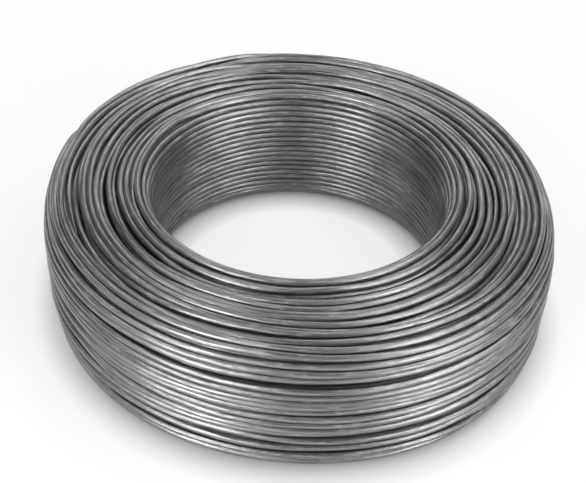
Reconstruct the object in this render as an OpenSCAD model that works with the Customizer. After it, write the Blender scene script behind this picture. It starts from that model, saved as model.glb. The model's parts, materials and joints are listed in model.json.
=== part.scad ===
// Coil of single-core electrical wire, lying flat with its axis upright.
// One turned solid: every turn that shows on the bore, the top, the outside and
// the underside is a true ring, and the turns inside the winding are one core.
// Millimetres, origin on the coil's axis at the floor, +Z up through the bore.

/* [Coil] */
// outside diameter over the outermost turns
coil_od = 200; // [160:1:280]
// diameter of the bore, the size of the mandrel it was wound on
bore_d = 110; // [80:1:150]
// height over the top and bottom turns
coil_h = 52; // [36:1:90]

/* [Wire] */
// diameter over the insulation
wire_d = 2.4; // [2:0.1:5]
// depth that the soft insulation is flattened where it bears on mandrel and floor
bearing_flat = 0.1; // [0.05:0.01:0.3]

/* [Winding shape] */
// how far the outside has slumped in at the top, measured across the coil
shoulder_top_w = 9; // [6:0.5:20]
// how far down the outside that slump reaches
shoulder_top_h = 28; // [8:0.5:40]
// rounding between the outside and the underside, measured across the coil
shoulder_foot_w = 7; // [6:0.5:20]
// height of that rounding
shoulder_foot_h = 9; // [6:0.5:20]
// how far the mouth of the bore flares at the top, measured across the coil
lip_top_w = 6; // [5:0.5:12]
// how far down the bore that flare reaches
lip_top_h = 15; // [6:0.5:25]
// rounding between the underside and the bore, measured across the coil
lip_foot_w = 7; // [5:0.5:12]
// height of that rounding
lip_foot_h = 9; // [6:0.5:20]

/* [Lay of the turns] */
// smallest spacing of the turns laid against the mandrel, in wire diameters
lay_bore = 1.02; // [1.01:0.01:1.3]
// smallest spacing of the turns that spread over the flared mouth, in wire diameters
lay_lip = 1.1; // [1.05:0.01:1.4]
// smallest spacing of the loose turns on the top, in wire diameters
lay_top = 1.27; // [1.01:0.01:1.5]
// smallest spacing of the turns on the outside, in wire diameters
lay_wall = 1.18; // [1.01:0.01:1.4]
// smallest spacing of the turns on the underside, in wire diameters
lay_foot = 1.1; // [1.01:0.01:1.4]
// most that a loose turn on the top sinks between its neighbours, in wire diameters
sink_top = 0.3; // [0:0.05:0.5]
// most that a turn on the outside sinks between its neighbours, in wire diameters
sink_wall = 0.15; // [0:0.05:0.4]

/* [Colour] */
// insulation colour
wire_colour = [0.56, 0.56, 0.57];

/* [Hidden] */
wire_r = wire_d / 2;
coil_r = coil_od / 2;
bore_r = bore_d / 2;

// the lines that the centres of the visible turns stand on
x_in = bore_r + wire_r - bearing_flat;
x_out = coil_r - wire_r;
z_lo = wire_r - bearing_flat;
z_hi = coil_h - wire_r;

// half-axes of the rounded corners of those lines; on a low coil the tall upper
// ones give way, so that one turn's height of straight side is left
lip_foot = [lip_foot_w, lip_foot_h] - [wire_r, wire_r];
foot = [shoulder_foot_w, shoulder_foot_h] - [wire_r, wire_r];
lip = [lip_top_w - wire_r, min(lip_top_h, coil_h - lip_foot_h - wire_d) - wire_r];
shoulder = [shoulder_top_w - wire_r,
            min(shoulder_top_h, coil_h - shoulder_foot_h - wire_d) - wire_r];

// centres of the four corner ellipses
at_lip_foot = [x_in + lip_foot.x, z_lo + lip_foot.y];
at_foot = [x_out - foot.x, z_lo + foot.y];
at_shoulder = [x_out - shoulder.x, z_hi - shoulder.y];
at_lip = [x_in + lip.x, z_hi - lip.y];

// whole steps, none shorter than the pitch, in a length
function steps(len, pitch) = max(1, floor(len / pitch));

// turn centres from a up to, but not at, b; after the first they sink unevenly towards the core
function lay_line(a, b, lay, sink = [0, 0]) =
    let (n = steps(norm(b - a), lay * wire_d))
    [for (i = [0 : n - 1]) a + (b - a) * i / n + sink * wire_d * (1 - cos(i * 137.5)) / 2];

// a point of the ellipse about c with half-axes ab
function on_ellipse(c, ab, angle) = c + [ab.x * cos(angle), ab.y * sin(angle)];

// pairs of length run and angle, every three degrees of a quarter ellipse
function length_table(ab, from) = [
    for (k = 0, run = 0; k <= 30;
         run = run + norm(on_ellipse([0, 0], ab, from + 3 * k + 3)
                          - on_ellipse([0, 0], ab, from + 3 * k)),
         k = k + 1)
        [run, from + 3 * k]];

// turn centres evenly along a quarter ellipse that starts at angle from, its end left out
function lay_arc(c, ab, from, lay) =
    let (table = length_table(ab, from), len = table[30][0], n = steps(len, lay * wire_d))
    [for (i = [0 : n - 1]) on_ellipse(c, ab, lookup(len * i / n, table))];

// the loop of visible turns: out under the coil, up the outside, in over the top, down the bore
turns = concat(
    lay_line([at_lip_foot.x, z_lo], [at_foot.x, z_lo], lay_foot),
    lay_arc(at_foot, foot, 270, lay_foot),
    lay_line([x_out, at_foot.y], [x_out, at_shoulder.y], lay_wall, [-sink_wall, 0]),
    lay_arc(at_shoulder, shoulder, 0, lay_wall),
    lay_line([at_shoulder.x, z_hi], [at_lip.x, z_hi], lay_top, [0, -sink_top]),
    lay_arc(at_lip, lip, 90, lay_lip),
    lay_line([x_in, at_lip.y], [x_in, at_lip_foot.y], lay_bore),
    lay_arc(at_lip_foot, lip_foot, 180, lay_foot)
);

// one turn seen end on
module turn_section(at) {
    translate(at) circle(r = wire_r, $fn = 40);
}

// the winding's section: the ring of visible turns on a core through their centres,
// flattened where the coil bore on its mandrel and where it rests
module winding_section() {
    difference() {
        union() {
            polygon(turns);
            for (t = turns) turn_section(t);
        }
        translate([0, -wire_d]) square([bore_r, coil_h + 2 * wire_d]);
        translate([0, -wire_d]) square([coil_r + wire_d, wire_d]);
    }
}

module wire_coil() {
    color(wire_colour)
        rotate_extrude($fn = 200) winding_section();
}

wire_coil();
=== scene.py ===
import json
import math

import bpy
import numpy as np
from mathutils import Matrix, Vector


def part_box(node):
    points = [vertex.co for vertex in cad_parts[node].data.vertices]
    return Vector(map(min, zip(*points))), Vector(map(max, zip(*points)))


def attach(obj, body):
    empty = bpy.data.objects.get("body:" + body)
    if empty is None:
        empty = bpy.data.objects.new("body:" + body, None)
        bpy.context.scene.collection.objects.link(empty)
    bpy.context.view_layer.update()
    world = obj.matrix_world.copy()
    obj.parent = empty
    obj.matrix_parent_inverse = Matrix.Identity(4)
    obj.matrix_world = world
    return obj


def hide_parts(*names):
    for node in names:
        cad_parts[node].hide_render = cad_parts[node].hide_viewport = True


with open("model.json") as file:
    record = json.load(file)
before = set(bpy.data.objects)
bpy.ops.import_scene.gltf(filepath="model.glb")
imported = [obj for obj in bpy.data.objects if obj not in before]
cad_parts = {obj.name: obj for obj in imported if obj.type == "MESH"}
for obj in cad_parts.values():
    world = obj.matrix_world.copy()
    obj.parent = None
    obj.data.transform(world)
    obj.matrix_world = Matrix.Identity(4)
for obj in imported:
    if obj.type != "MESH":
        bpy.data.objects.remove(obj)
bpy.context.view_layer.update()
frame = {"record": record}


# ---- The winding ---------------------------------------------------------------------------
# One length of solid copper wire in a smooth plastic jacket, wound back and forth in layers on
# a round former and slipped off it: tight where it bore on the former, loose everywhere else,
# flared at the mouth of the bore and slumped in at the top of its outside.
wire_d = 0.0024
coil_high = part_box("wire_coil")[1]
coil_r, coil_h = min(coil_high[:2]), coil_high[2]
bore_r = next(m for m in frame["record"]["mounts"] if m["name"] == "bore")["dims"]["r_mm"] / 1000
r_in, z_low, z_high = bore_r + wire_d / 2, wire_d / 2, coil_h - wire_d / 2

# The four rounded corners of the winding's section, each as its width and its height.
mouth, shoulder = (0.0048, 0.0138), (0.0058, 0.02)
mouth_foot, foot = (0.0058, 0.0078), (0.0058, 0.0078)

# How far the outside has eased out of round, as shares of its radius, and the oval's azimuth.
oval, oval_way, square = 0.025, 2.08, 0.006


def eased(angle):
    """How far out of round the outside has eased at an azimuth, as a share of its radius: oval
    along the azimuth oval_way, and a little square towards the corners between X and Y."""
    return oval * np.cos(2 * (angle - oval_way)) - square * np.cos(4 * angle)


# The outermost centres' radius is the one at which the eased coil just fills its square box.
about = np.linspace(0, 2 * np.pi, 720)
r_out = ((coil_r - wire_d / 2)
         / ((1 + eased(about)) * np.maximum(abs(np.cos(about)), abs(np.sin(about)))).max())


def corner(into, size):
    """Distance in from the straight at a rounded corner: a quarter ellipse of the two half-axes
    size, where into is how far the point lies inside the corner, measured along the straight."""
    return size[0] * (1 - np.sqrt(1 - np.clip(into / size[1], 0, 1) ** 2))


def bore_line(z):
    """Radius of the innermost turns' centres at height z: the former, flared at both ends."""
    return (r_in + corner(z - z_high + mouth[1], mouth)
            + corner(z_low + mouth_foot[1] - z, mouth_foot))


def outside_line(z):
    """Radius of the outermost turns' centres at height z: upright, rounded in at both ends."""
    return (r_out - corner(z - z_high + shoulder[1], shoulder)
            - corner(z_low + foot[1] - z, foot))


def wander(rng, count, reach):
    """White noise along the wire, blurred with a bell curve reach points wide, unit spread."""
    tone = np.fft.rfft(rng.standard_normal(count))
    tone *= np.exp(-2 * (np.pi * np.fft.rfftfreq(count) * reach) ** 2)
    wave = np.fft.irfft(tone, count)
    return wave / wave.std()


def layer_line(z, share):
    """Radius at height z of the layer that lies share of the way from bore to outside."""
    return bore_line(z) + share * (outside_line(z) - bore_line(z))


def even_heights(low, high, share, steps):
    """Heights from low to high at even distances along a layer's line, and its whole length."""
    z = np.linspace(low, high, 3000)
    run = np.cumsum(np.hypot(np.diff(z), np.diff(layer_line(z, share))))
    return np.interp(np.linspace(0, run[-1], steps), np.append(0, run), z), run[-1]


# The lay: how many layers there are, at how many azimuth stations each turn is worked out, and
# how far apart a layer's turns lie, in wires. Looseness is how far the wire wanders, in wires, at
# each of held_layers: next to nothing on the former, and as much as it gets from the last of
# them outwards. Its waves are about wander_reach of a turn long.
layers, stations = 14, 120
inside_spacing = 1.42
end_layers, end_spacing = [0, 1, -3, -2, -1], [1.03, 1.12, 1.24, 1.1, 1.14]
held_layers, looseness, wander_reach = [0, 1, 3], [0.02, 0.12, 0.28], 0.18


def wind(rng, steps=30, dwell=0.55, climb=0.15):
    """Radius and height of the wire's centre, one row a turn and one column an azimuth station.
    Layer by layer the wire runs from end to end of the layer's line and dwells there for dwell
    of a turn, and the share of the way from bore to outside steps up within climb of a turn of
    each end; radius and height both wander more the farther from the former, the height a fifth
    more than the radius. Inside layers stop up to a wire short of the ends."""
    k = np.arange(layers)
    inside = (k > 0) & (k < layers - 2)
    top = z_high - wire_d * inside * rng.choice([0, 0.3, 0.6], layers)
    low = z_low + wire_d * inside * rng.choice([0, 0.9], layers)
    spacing = np.full(layers, inside_spacing * wire_d)
    spacing[end_layers] = np.array(end_spacing) * wire_d
    lines = [even_heights(a, b, c / (layers - 1), steps) for a, b, c in zip(low, top, k)]
    turns = np.array([length for _, length in lines]) / spacing + 2 * dwell
    count = int(round(turns.sum()))
    ends = np.concatenate([[0], np.cumsum(turns * count / turns.sum())])
    t = np.arange(count * stations) / stations
    share = np.interp(t, np.stack([ends[:-1] + climb, ends[1:] - climb], 1).ravel(),
                      np.repeat(k / (layers - 1), 2))
    z = np.interp(t, np.linspace(ends[:-1] + dwell, ends[1:] - dwell, steps, axis=1).ravel(),
                  np.concatenate([line[::1 - 2 * (c % 2)] for c, (line, _) in enumerate(lines)]))
    r = layer_line(z, share)
    layer = np.clip(np.searchsorted(ends, t, side="right") - 1, 0, layers - 1)
    loose = np.interp(layer, held_layers, looseness) * wire_d
    r += loose * wander(rng, len(t), wander_reach * stations)
    z += 1.2 * loose * wander(rng, len(t), wander_reach * stations)
    return np.stack([r, z], -1).reshape(count, stations, 2), layer.reshape(count, stations)


def neighbours(lay, within=1.6):
    """Pairs of turns that come closer than within wires at any fourth station."""
    nearest = np.full((len(lay), len(lay)), np.inf)
    for k in range(0, stations, 4):
        gap = lay[:, None, k] - lay[None, :, k]
        nearest = np.minimum(nearest, np.hypot(gap[..., 0], gap[..., 1]))
    return np.nonzero(np.triu(nearest < within * wire_d, 1))


def settle(lay, rounds, hold, stiffness, tension, part_by=0.55, look_again=40):
    """The wire pushed clear of itself: at each station every two turns closer than one wire part
    by the share part_by of half their overlap each, the whole is held to its lay, drawn towards
    the former by tension metres a round, evened along its length by a three-point mean, and kept
    between the former and the flanges. Every look_again rounds the pairs are found afresh."""
    start = lay.copy()
    for step in range(rounds):
        if step % look_again == 0:
            a, b = neighbours(lay)
            part = np.zeros((len(lay), len(a)), np.float32)
            part[a, np.arange(len(a))], part[b, np.arange(len(a))] = -1, 1
        apart = lay[b] - lay[a]
        far = np.sqrt((apart**2).sum(-1)) + 1e-9
        push = (0.5 * np.clip(wire_d - far, 0, None) / far)[..., None] * apart
        moved = part @ push.reshape(len(a), -1).astype(np.float32)
        lay = lay + part_by * moved.reshape(lay.shape) + hold * (start - lay)
        lay[..., 0] -= tension
        line = lay.reshape(-1, 2)
        mean = 0.25 * line[:-2] + 0.5 * line[1:-1] + 0.25 * line[2:]
        line[1:-1] += stiffness * (mean - line[1:-1])
        lay[..., 1] = np.clip(lay[..., 1], z_low, z_high)
        lay[..., 0] = np.clip(lay[..., 0], bore_line(lay[..., 1]), outside_line(lay[..., 1]))
    return lay


def bends(rng, layer, sizes):
    """Small sideways bends left in the wire, added up over the pairs of size in wires and reach
    in turns: next to none against the former, the whole size from the fourth layer out."""
    free = np.interp(layer, held_layers, [0.12, 0.45, 1.0])[..., None] * wire_d
    waves = [size * np.stack([wander(rng, layer.size, reach * stations) for _ in (0, 1)], 1)
             for size, reach in sizes]
    return free * sum(waves).reshape(*layer.shape, 2)


rng = np.random.default_rng(7)
lay, layer = wind(rng)
lay = settle(lay, rounds=240, hold=0.004, stiffness=0.9, tension=0.000001)
lay = settle(lay + bends(rng, layer, ((0.17, 0.05), (0.09, 0.018))),
             rounds=90, hold=0.0, stiffness=0.04, tension=0.0)


# ---- The hidden turns ----------------------------------------------------------------------
# The same jacketed wire deeper than about two turns, which never shows. All of it is one plain
# ring, turned to the coil's own section and coloured near black as painted shade, which fills the
# gaps between the turns that show.
core_inset = 2.3 * wire_d


def out_of_round(r, angle):
    """The radius r at an azimuth, once the coil has eased: unchanged at the bore, and the whole
    share eased(angle) wider at the outside."""
    return r * (1 + np.clip((r - r_in) / (r_out - r_in), 0, 1) * eased(angle))


def turned_ring(name, r, z, steps=180):
    """A closed section of points (r, z) carried once round the axis, as one grid of quads."""
    angle = np.linspace(0, 2 * np.pi, steps, endpoint=False)[:, None]
    wide = out_of_round(r[None, :], angle)
    points = np.stack([wide * np.cos(angle), wide * np.sin(angle), z + 0 * wide], -1)
    i = np.arange(steps)[:, None] * len(r)
    j = np.arange(len(r))[None, :]
    i2, j2 = np.roll(i, -1, 0), np.roll(j, -1, 1)
    quads = np.stack([i + j, i2 + j, i2 + j2, i + j2], -1).reshape(-1, 4)
    mesh = bpy.data.meshes.new(name)
    mesh.from_pydata(points.reshape(-1, 3).tolist(), [], quads.tolist())
    mesh.polygons.foreach_set("use_smooth", [True] * len(mesh.polygons))
    mesh.update()
    ring = bpy.data.objects.new(name, mesh)
    bpy.context.collection.objects.link(ring)
    return ring


def core_section(count=24):
    """The section's outline, anticlockwise, drawn in by core_inset from the end turns' lines."""
    z = np.linspace(z_low, z_high, count)
    tight = np.linspace(z_low + core_inset, z_high - core_inset, count)
    return (np.concatenate([outside_line(z) - core_inset, (bore_line(z) + core_inset)[::-1]]),
            np.concatenate([tight, tight[::-1]]))


def drawn_surface():
    """A node group on a position along and round the wire, in metres. Streak is noise drawn out
    lengthwise, as the die leaves it; Drift is slow noise along the wire, from turn to turn;
    Rub marks the short patches where turns have rubbed together. All three run from 0 to 1."""
    group = bpy.data.node_groups.new("drawn_surface", "ShaderNodeTree")
    face = group.interface
    face.new_socket("Place", in_out="INPUT", socket_type="NodeSocketVector")
    face.new_socket("Streak Length", in_out="INPUT", socket_type="NodeSocketFloat")
    face.new_socket("Streak Width", in_out="INPUT", socket_type="NodeSocketFloat")
    for name in ("Streak", "Drift", "Rub"):
        face.new_socket(name, in_out="OUTPUT", socket_type="NodeSocketFloat")
    nodes, links = group.nodes, group.links
    given, result = nodes.new("NodeGroupInput"), nodes.new("NodeGroupOutput")

    def drawn_noise(length, width, detail):
        """Noise whose features are length long and width wide, both single values or sockets."""
        size = nodes.new("ShaderNodeCombineXYZ")
        for socket, value in zip(size.inputs, (length, width, width)):
            if isinstance(value, float):
                socket.default_value = value
            else:
                links.new(value, socket)
        scaled = nodes.new("ShaderNodeVectorMath")
        scaled.operation = "DIVIDE"
        noise = nodes.new("ShaderNodeTexNoise")
        noise.inputs["Scale"].default_value = 1.0
        noise.inputs["Detail"].default_value = detail
        noise.inputs["Roughness"].default_value = 0.6
        links.new(given.outputs["Place"], scaled.inputs[0])
        links.new(size.outputs[0], scaled.inputs[1])
        links.new(scaled.outputs[0], noise.inputs["Vector"])
        return noise.outputs["Fac"]

    def stretched(value, low, high, name):
        """The value's range low to high carried to 0 to 1, clamped, as the output name."""
        span = nodes.new("ShaderNodeMapRange")
        span.inputs["From Min"].default_value, span.inputs["From Max"].default_value = low, high
        links.new(value, span.inputs["Value"])
        links.new(span.outputs["Result"], result.inputs[name])

    stretched(drawn_noise(given.outputs["Streak Length"], given.outputs["Streak Width"], 3.0),
              0.3, 0.7, "Streak")
    stretched(drawn_noise(0.33, 9.0, 1.0), 0.32, 0.68, "Drift")
    stretched(drawn_noise(0.006, 0.0016, 2.0), 0.56, 0.72, "Rub")
    return group


def jacket_material(name, dark, light, roughness, metallic):
    """Silver-grey PVC with a drawn, metal-like surface: the colour runs from dark to light with
    the streaks and the drift of tone, and rubbed places are rougher and a little lighter."""
    rub_cover, rub_lighter, rub_rougher = 0.35, 1.35, 0.12
    material = bpy.data.materials.new(name)
    material.use_nodes = True
    nodes, links = material.node_tree.nodes, material.node_tree.links
    shader = nodes["Principled BSDF"]
    shader.inputs["Metallic"].default_value = metallic
    place = nodes.new("ShaderNodeAttribute")
    place.attribute_name = "wire_place"
    surface = nodes.new("ShaderNodeGroup")
    surface.node_tree = drawn
    surface.inputs["Streak Length"].default_value = 0.014
    surface.inputs["Streak Width"].default_value = 0.0006
    links.new(place.outputs["Vector"], surface.inputs["Place"])

    def blend(socket, a, b, c):
        """a * Streak + b * Drift + c, into the socket's node input."""
        first, second = nodes.new("ShaderNodeMath"), nodes.new("ShaderNodeMath")
        for node, value, source, other in ((first, a, "Streak", c), (second, b, "Drift", None)):
            node.operation = "MULTIPLY_ADD"
            node.inputs[1].default_value = value
            links.new(surface.outputs[source], node.inputs[0])
            if other is not None:
                node.inputs[2].default_value = other
        links.new(first.outputs[0], second.inputs[2])
        links.new(second.outputs[0], socket)

    tone, rubbed = nodes.new("ShaderNodeMix"), nodes.new("ShaderNodeMix")
    tone.data_type = rubbed.data_type = "RGBA"
    tone.inputs["A"].default_value, tone.inputs["B"].default_value = (*dark, 1), (*light, 1)
    blend(tone.inputs["Factor"], 0.65, 0.35, 0.0)
    rub = nodes.new("ShaderNodeMath")
    rub.operation = "MULTIPLY"
    rub.inputs[1].default_value = rub_cover
    links.new(surface.outputs["Rub"], rub.inputs[0])
    links.new(rub.outputs[0], rubbed.inputs["Factor"])
    links.new(tone.outputs["Result"], rubbed.inputs["A"])
    rubbed.inputs["B"].default_value = (*(min(1, rub_lighter * c) for c in light), 1)
    links.new(rubbed.outputs["Result"], shader.inputs["Base Color"])
    rough = nodes.new("ShaderNodeMath")
    rough.operation = "MULTIPLY_ADD"
    rough.inputs[1].default_value = rub_rougher
    blend(rough.inputs[2], -0.06, 0.04, roughness)
    links.new(surface.outputs["Rub"], rough.inputs[0])
    links.new(rough.outputs[0], shader.inputs["Roughness"])
    bump = nodes.new("ShaderNodeBump")
    bump.inputs["Strength"].default_value = 1.0
    bump.inputs["Distance"].default_value = 0.0001
    links.new(surface.outputs["Streak"], bump.inputs["Height"])
    links.new(bump.outputs["Normal"], shader.inputs["Normal"])
    return material


def wire_place(mesh, values):
    """Each vertex's place along and round the wire, for the drawn surface to follow."""
    place = mesh.attributes.new("wire_place", "FLOAT_VECTOR", "POINT")
    place.data.foreach_set("vector", np.asarray(values, np.float32).ravel())


drawn = drawn_surface()
core = turned_ring("hidden_turns", *core_section())
core_points = np.array([v.co[:] for v in core.data.vertices])
core_r = np.hypot(core_points[:, 0], core_points[:, 1])
wire_place(core.data, np.stack([core_r * np.arctan2(core_points[:, 1], core_points[:, 0]),
                                core_r, core_points[:, 2]], 1))
# The ring's near-black jacket is painted shade, standing for the dark deep gaps between the
# turns.
core.data.materials.append(
    jacket_material("painted_shade_jacket", (0.02, 0.02, 0.02), (0.05, 0.05, 0.05), 0.6, 0.0))
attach(core, "root")


# ---- The turns that show -------------------------------------------------------------------
# The same wire wherever it lies open to view, each stretch a tube in silver-grey PVC along its
# own path, in seven groups of layers from the former out to the side of the coil.
tube_sides, per_turn, start_way = 12, 240, 1.8
round_wire = np.linspace(0, 2 * np.pi, tube_sides, endpoint=False)


def depth_below(points):
    """How deep each wire centre lies below the lines of the outermost centres."""
    z = np.linspace(z_low, z_high, 120)
    r = np.linspace(bore_line(z_low), outside_line(z_low), 60)
    r2 = np.linspace(bore_line(z_high), outside_line(z_high), 60)
    rim_r = np.concatenate([bore_line(z), outside_line(z), r, r2])
    rim_z = np.concatenate([z, z, z_low + 0 * r, z_high + 0 * r2])
    best = np.full(len(points), np.inf)
    for a, b in zip(rim_r, rim_z):
        best = np.minimum(best, np.hypot(points[:, 0] - a, points[:, 1] - b))
    return best


def exposed(lay, rays=32, clear=0.46, past=0.3):
    """Which turns can be seen at each station: those from whose centre at least one of the rays
    in the coil's section leaves the winding with no other wire's centre within clear wires of
    it, once it is past wires out."""
    way = np.linspace(0, 2 * np.pi, rays, endpoint=False)
    way = np.stack([np.cos(way), np.sin(way)]).astype(np.float32)
    seen = np.zeros(lay.shape[:2], bool)
    for k in range(lay.shape[1]):
        gap = (lay[None, :, k] - lay[:, None, k]).astype(np.float32)
        ahead = gap @ way
        aside = np.abs(gap[..., :1] * way[1] - gap[..., 1:] * way[0])
        stopped = (ahead > past * wire_d) & (aside < clear * wire_d)
        seen[:, k] = ~stopped.any(1).all(1)
    return seen


def spread(mask, reach):
    """The mask along the wire, widened by reach stations at each end of every stretch."""
    return np.convolve(mask.astype(int), np.ones(2 * reach + 1, int), "same") > 0


# A stretch shows where it is both shallow and exposed. Gaps of up to 32 stations are closed, and
# each stretch runs on for nine stations past where it stops showing.
fine = per_turn // stations
flat = lay.reshape(-1, 2)
shallow = core_inset + 0.3 * wire_d
showing = (depth_below(flat) < shallow) & exposed(lay).reshape(-1)
showing = ~spread(~spread(showing, 16), 7)

# The path is the wire's centre at per_turn points a turn, evened three times.
along = np.arange((len(flat) - 1) * fine + 1) / fine
path = np.stack([np.interp(along, np.arange(len(flat)), flat[:, c]) for c in (0, 1)], 1)
for _ in range(3):
    path[1:-1] = 0.25 * path[:-2] + 0.5 * path[1:-1] + 0.25 * path[2:]
nearest = np.minimum((along + 0.5).astype(int), len(flat) - 1)
path_layer, showing = layer.reshape(-1)[nearest], showing[nearest]

# Both ends of the wire bend in among the turns and up, over two fifths of a turn, by tuck_by
# wires in radius and in height.
tuck, tuck_by = 96, np.array([2.6, 1.1])
ease = np.cos(np.linspace(0, np.pi / 2, tuck, endpoint=False)[:, None]) ** 2
inward = tuck_by * wire_d * ease
path = np.concatenate([path[:1] + inward, path, (path[-1:] + inward * [-1, 1])[::-1]])
path_layer, showing = np.pad(path_layer, tuck, "edge"), np.pad(showing, tuck, "edge")

# Where a stretch leaves the surface it sinks sink_depth wires deeper over its last sink_points,
# an eighth of a turn, by the square of a cosine, towards the middle of the winding's section.
sink_depth, sink_points = 1.7, 30
hidden_at = np.flatnonzero(~showing)
near = np.searchsorted(hidden_at, np.arange(len(path)))
before = np.arange(len(path)) - np.concatenate([[-len(path)], hidden_at])[near]
after = np.concatenate([hidden_at, [2 * len(path)]])[near] - np.arange(len(path))
sink = np.cos(np.clip(np.minimum(before, after) / sink_points, 0, 1) * np.pi / 2) ** 2
to_middle = np.array([(r_in + r_out) / 2, coil_h / 2]) - path
to_middle /= np.linalg.norm(to_middle, axis=1)[:, None]
path += sink_depth * wire_d * sink[:, None] * to_middle

path_angle = start_way + 2 * np.pi * (np.arange(len(path)) - tuck) / per_turn
path_r = out_of_round(path[:, 0], path_angle)
path_xyz = np.stack([path_r * np.cos(path_angle), path_r * np.sin(path_angle), path[:, 1]], 1)
path_length = np.concatenate([[0], np.cumsum(np.linalg.norm(np.diff(path_xyz, axis=0), axis=1))])


def tube_rings(points, radius):
    """The corners of a tube of tube_sides sides, one row a point of its path: each ring stands
    square to the path, with its first corner outward from the coil's axis."""
    ahead = np.gradient(points, axis=0)
    ahead /= np.linalg.norm(ahead, axis=1)[:, None]
    out = points * [1, 1, 0]
    out -= (out * ahead).sum(1)[:, None] * ahead
    out /= np.linalg.norm(out, axis=1)[:, None]
    side = np.cross(ahead, out)
    turn = round_wire[None, :, None]
    return points[:, None] + radius * (np.cos(turn) * out[:, None] + np.sin(turn) * side[:, None])


def tube_faces(count):
    """The faces of a closed tube of count rings: quads between rings, and a cap at each end."""
    i = np.arange(count - 1)[:, None] * tube_sides
    j = np.arange(tube_sides)[None, :]
    j2 = np.roll(j, -1, 1)
    quads = np.stack([i + j2, i + tube_sides + j2, i + tube_sides + j, i + j], -1).reshape(-1, 4)
    cap = np.arange(tube_sides)
    return quads, np.stack([cap[::-1], cap + (count - 1) * tube_sides])


# Each corner's place on the jacket: how far along the wire, then how far out from the wire's
# centre and how far to its side.
rings = tube_rings(path_xyz, wire_d / 2)
ring_places = np.empty_like(rings)
ring_places[..., 0] = path_length[:, None]
ring_places[..., 1:] = wire_d / 2 * np.stack([np.cos(round_wire), np.sin(round_wire)], 1)


def turns_that_show(name, chosen, shortest=12):
    """One mesh of every unbroken run of chosen points, each run its own closed tube with sharp
    edged ends. A run that another piece carries on reaches one point further, so that the two
    share that ring, and a run of fewer points than shortest is left out."""
    edge = np.flatnonzero(np.diff(np.concatenate([[0], chosen.astype(int), [0]])))
    verts, places, quads, caps, shift = [], [], [], [], 0
    for a, b in zip(edge[::2], edge[1::2]):
        b += int(b < len(showing) and showing[b])
        if b - a < shortest:
            continue
        run_quads, run_caps = tube_faces(b - a)
        verts.append(rings[a:b].reshape(-1, 3))
        places.append(ring_places[a:b].reshape(-1, 3))
        quads += (run_quads + shift).tolist()
        caps += (run_caps + shift).tolist()
        shift += (b - a) * tube_sides
    mesh = bpy.data.meshes.new(name)
    mesh.from_pydata(np.concatenate(verts).tolist(), [], quads + caps)
    mesh.polygons.foreach_set("use_smooth", [True] * len(quads) + [False] * len(caps))
    edge_of = np.empty(len(mesh.loops), np.int32)
    mesh.loops.foreach_get("edge_index", edge_of)
    sharp = np.zeros(len(mesh.edges), bool)
    sharp[edge_of[4 * len(quads):]] = True
    mesh.attributes.new("sharp_edge", "BOOLEAN", "EDGE").data.foreach_set("value", sharp)
    wire_place(mesh, np.concatenate(places))
    mesh.update()
    piece = bpy.data.objects.new(name, mesh)
    bpy.context.collection.objects.link(piece)
    return piece


jacket = jacket_material("jacket", (0.1, 0.1, 0.1), (0.42, 0.42, 0.42), 0.32, 0.9)
for name, low, high in (("mandrel_turns", 0, 0), ("second_turns", 1, 1), ("inner_turns", 2, 5),
                        ("middle_turns", 6, 9), ("outer_turns", 10, 11), ("wall_turns", 12, 12),
                        ("outside_turns", 13, 13)):
    piece = turns_that_show(name, showing & (path_layer >= low) & (path_layer <= high))
    piece.data.materials.append(jacket)
    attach(piece, "root")
    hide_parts("wire_coil")


# ---- The floor -----------------------------------------------------------------------------
# A level sheet of matt paper, which the coil lies on. It glows, to the eye and in what mirrors
# it, so that it looks white. Close to the coil's foot an occlusion factor dims that glow, a
# painted shadow, which reaches farther in what mirrors it.
floor_half, floor_glow, shade_reach, mirrored_reach = 8, 0.74, 0.012, 0.05
floor_mesh = bpy.data.meshes.new("floor")
floor_mesh.from_pydata([(x * floor_half, y * floor_half, 0)
                        for x, y in ((-1, -1), (1, -1), (1, 1), (-1, 1))], [], [(0, 1, 2, 3)])
floor = bpy.data.objects.new("floor", floor_mesh)
bpy.context.collection.objects.link(floor)
paper = bpy.data.materials.new("paper")
paper.use_nodes = True
nodes, links = paper.node_tree.nodes, paper.node_tree.links
sheet = nodes["Principled BSDF"]
sheet.inputs["Base Color"].default_value = (0.24, 0.24, 0.24, 1)
sheet.inputs["Roughness"].default_value = 0.9
sheet.inputs["Specular IOR Level"].default_value = 0.1
sheet.inputs["Emission Color"].default_value = (1, 1, 1, 1)
# foot_shade dims the glow where the coil occludes the floor: a painted contact shadow, reaching
# mirrored_reach in reflections.
ray, foot_shade = nodes.new("ShaderNodeLightPath"), nodes.new("ShaderNodeAmbientOcclusion")
foot_shade.samples = 8
mirrored, reach, seen, shaded, glow = (nodes.new("ShaderNodeMath") for _ in range(5))
for node, operation, first, second in (
        (mirrored, "MAXIMUM", ray.outputs["Is Glossy Ray"], ray.outputs["Is Transmission Ray"]),
        (reach, "MULTIPLY_ADD", mirrored.outputs[0], mirrored_reach),
        (seen, "MAXIMUM", ray.outputs["Is Camera Ray"], mirrored.outputs[0]),
        (shaded, "MULTIPLY", seen.outputs[0], foot_shade.outputs["AO"]),
        (glow, "MULTIPLY", shaded.outputs[0], floor_glow)):
    node.operation = operation
    links.new(first, node.inputs[0])
    if isinstance(second, float):
        node.inputs[1].default_value = second
    else:
        links.new(second, node.inputs[1])
reach.inputs[2].default_value = shade_reach
links.new(reach.outputs[0], foot_shade.inputs["Distance"])
links.new(glow.outputs[0], sheet.inputs["Emission Strength"])
floor_mesh.materials.append(paper)


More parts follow.
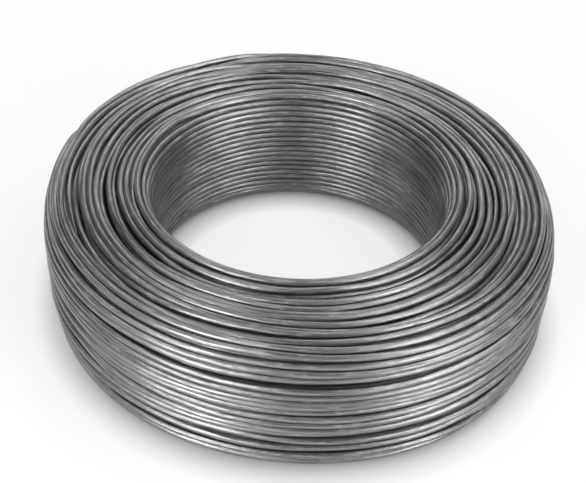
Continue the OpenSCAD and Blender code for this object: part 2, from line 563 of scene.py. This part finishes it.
# ---- The room ------------------------------------------------------------------------------
# The studio round the coil: plain painted walls, pale low down where they meet the floor, which
# fade to dark above, so that the bright wire has something dark to mirror.
world = bpy.data.worlds.new("room")
bpy.context.scene.world = world
world.use_nodes = True
nodes, links = world.node_tree.nodes, world.node_tree.links
way, height = nodes.new("ShaderNodeTexCoord"), nodes.new("ShaderNodeSeparateXYZ")
fade = nodes.new("ShaderNodeMapRange")
fade.interpolation_type = "SMOOTHSTEP"
for name, value in (("From Min", 0.02), ("From Max", 0.3), ("To Min", 0.6), ("To Max", 0.01)):
    fade.inputs[name].default_value = value
links.new(way.outputs["Generated"], height.inputs[0])
links.new(height.outputs["Z"], fade.inputs["Value"])
links.new(fade.outputs["Result"], nodes["Background"].inputs["Strength"])
nodes["Background"].inputs["Color"].default_value = (1, 1, 1, 1)


# ---- The lamps -----------------------------------------------------------------------------
# Seven soft boxes, white cloth over a lit frame, a little over a metre from the coil and facing
# it: two low in front, with a dark gap between them, two high at its sides, and three behind.
lamp_distance = 1.2


def soft_box(name, azimuth, elevation, width, height, watts):
    """A lit rectangle at lamp_distance from the coil's middle, with its azimuth in degrees from
    the coil's front, its elevation in degrees, and its size in metres."""
    data = bpy.data.lights.new(name, "AREA")
    data.shape, data.size, data.size_y, data.energy = "RECTANGLE", width, height, watts
    lamp = bpy.data.objects.new(name, data)
    bpy.context.collection.objects.link(lamp)
    a, e = math.radians(azimuth), math.radians(elevation)
    way = Vector((math.cos(e) * math.sin(a), -math.cos(e) * math.cos(a), math.sin(e)))
    lamp.location = way * lamp_distance + Vector((0, 0, coil_h / 2))
    lamp.rotation_euler = way.to_track_quat("Z", "Y").to_euler()


soft_box("left_box", -37, 22, 0.6, 0.9, 12.5)
soft_box("right_box", 49, 21, 0.6, 0.8, 9.2)
soft_box("left_high", -90, 58, 0.6, 0.75, 2.8)
soft_box("right_high", 90, 58, 0.6, 0.75, 6.2)
soft_box("back_box", 180, 45, 0.6, 0.6, 2.8)
soft_box("left_back", -145, 20, 0.7, 0.5, 0.4)
soft_box("right_back", 145, 20, 0.7, 0.5, 0.5)


# ---- The camera ----------------------------------------------------------------------------
# A fairly long lens on a stand, held close to the coil and 38 degrees above the floor. It leans a
# little out of level, and aims a fraction of a degree off the coil's middle.
elevation, roll = math.radians(38.27), math.radians(-2.49)
aim_aside, aim_up = math.radians(0.21), math.radians(0.70)
distance, focal_length = 0.4205, 65.55
camera_data = bpy.data.cameras.new("camera")
camera = bpy.data.objects.new("camera", camera_data)
bpy.context.collection.objects.link(camera)
bpy.context.scene.camera = camera
back = Vector((0, -math.cos(elevation), math.sin(elevation)))
right = Vector((1, 0, 0))
up = back.cross(right)
right, up = (math.cos(roll) * right - math.sin(roll) * up,
             math.sin(roll) * right + math.cos(roll) * up)
level = Matrix((right, up, back)).transposed()
aim = Vector((math.tan(aim_aside), math.tan(aim_up), -1))
swing = Vector((0, 0, -1)).rotation_difference(aim.normalized()).to_matrix()
camera.matrix_world = Matrix.Translation(back * distance + Vector((0, 0, coil_h / 2))) @ (
    level @ swing.transposed()).to_4x4()
camera_data.sensor_width = 36
camera_data.lens = focal_length
camera_data.clip_start = 0.01
bpy.context.scene.view_settings.view_transform = "Standard"
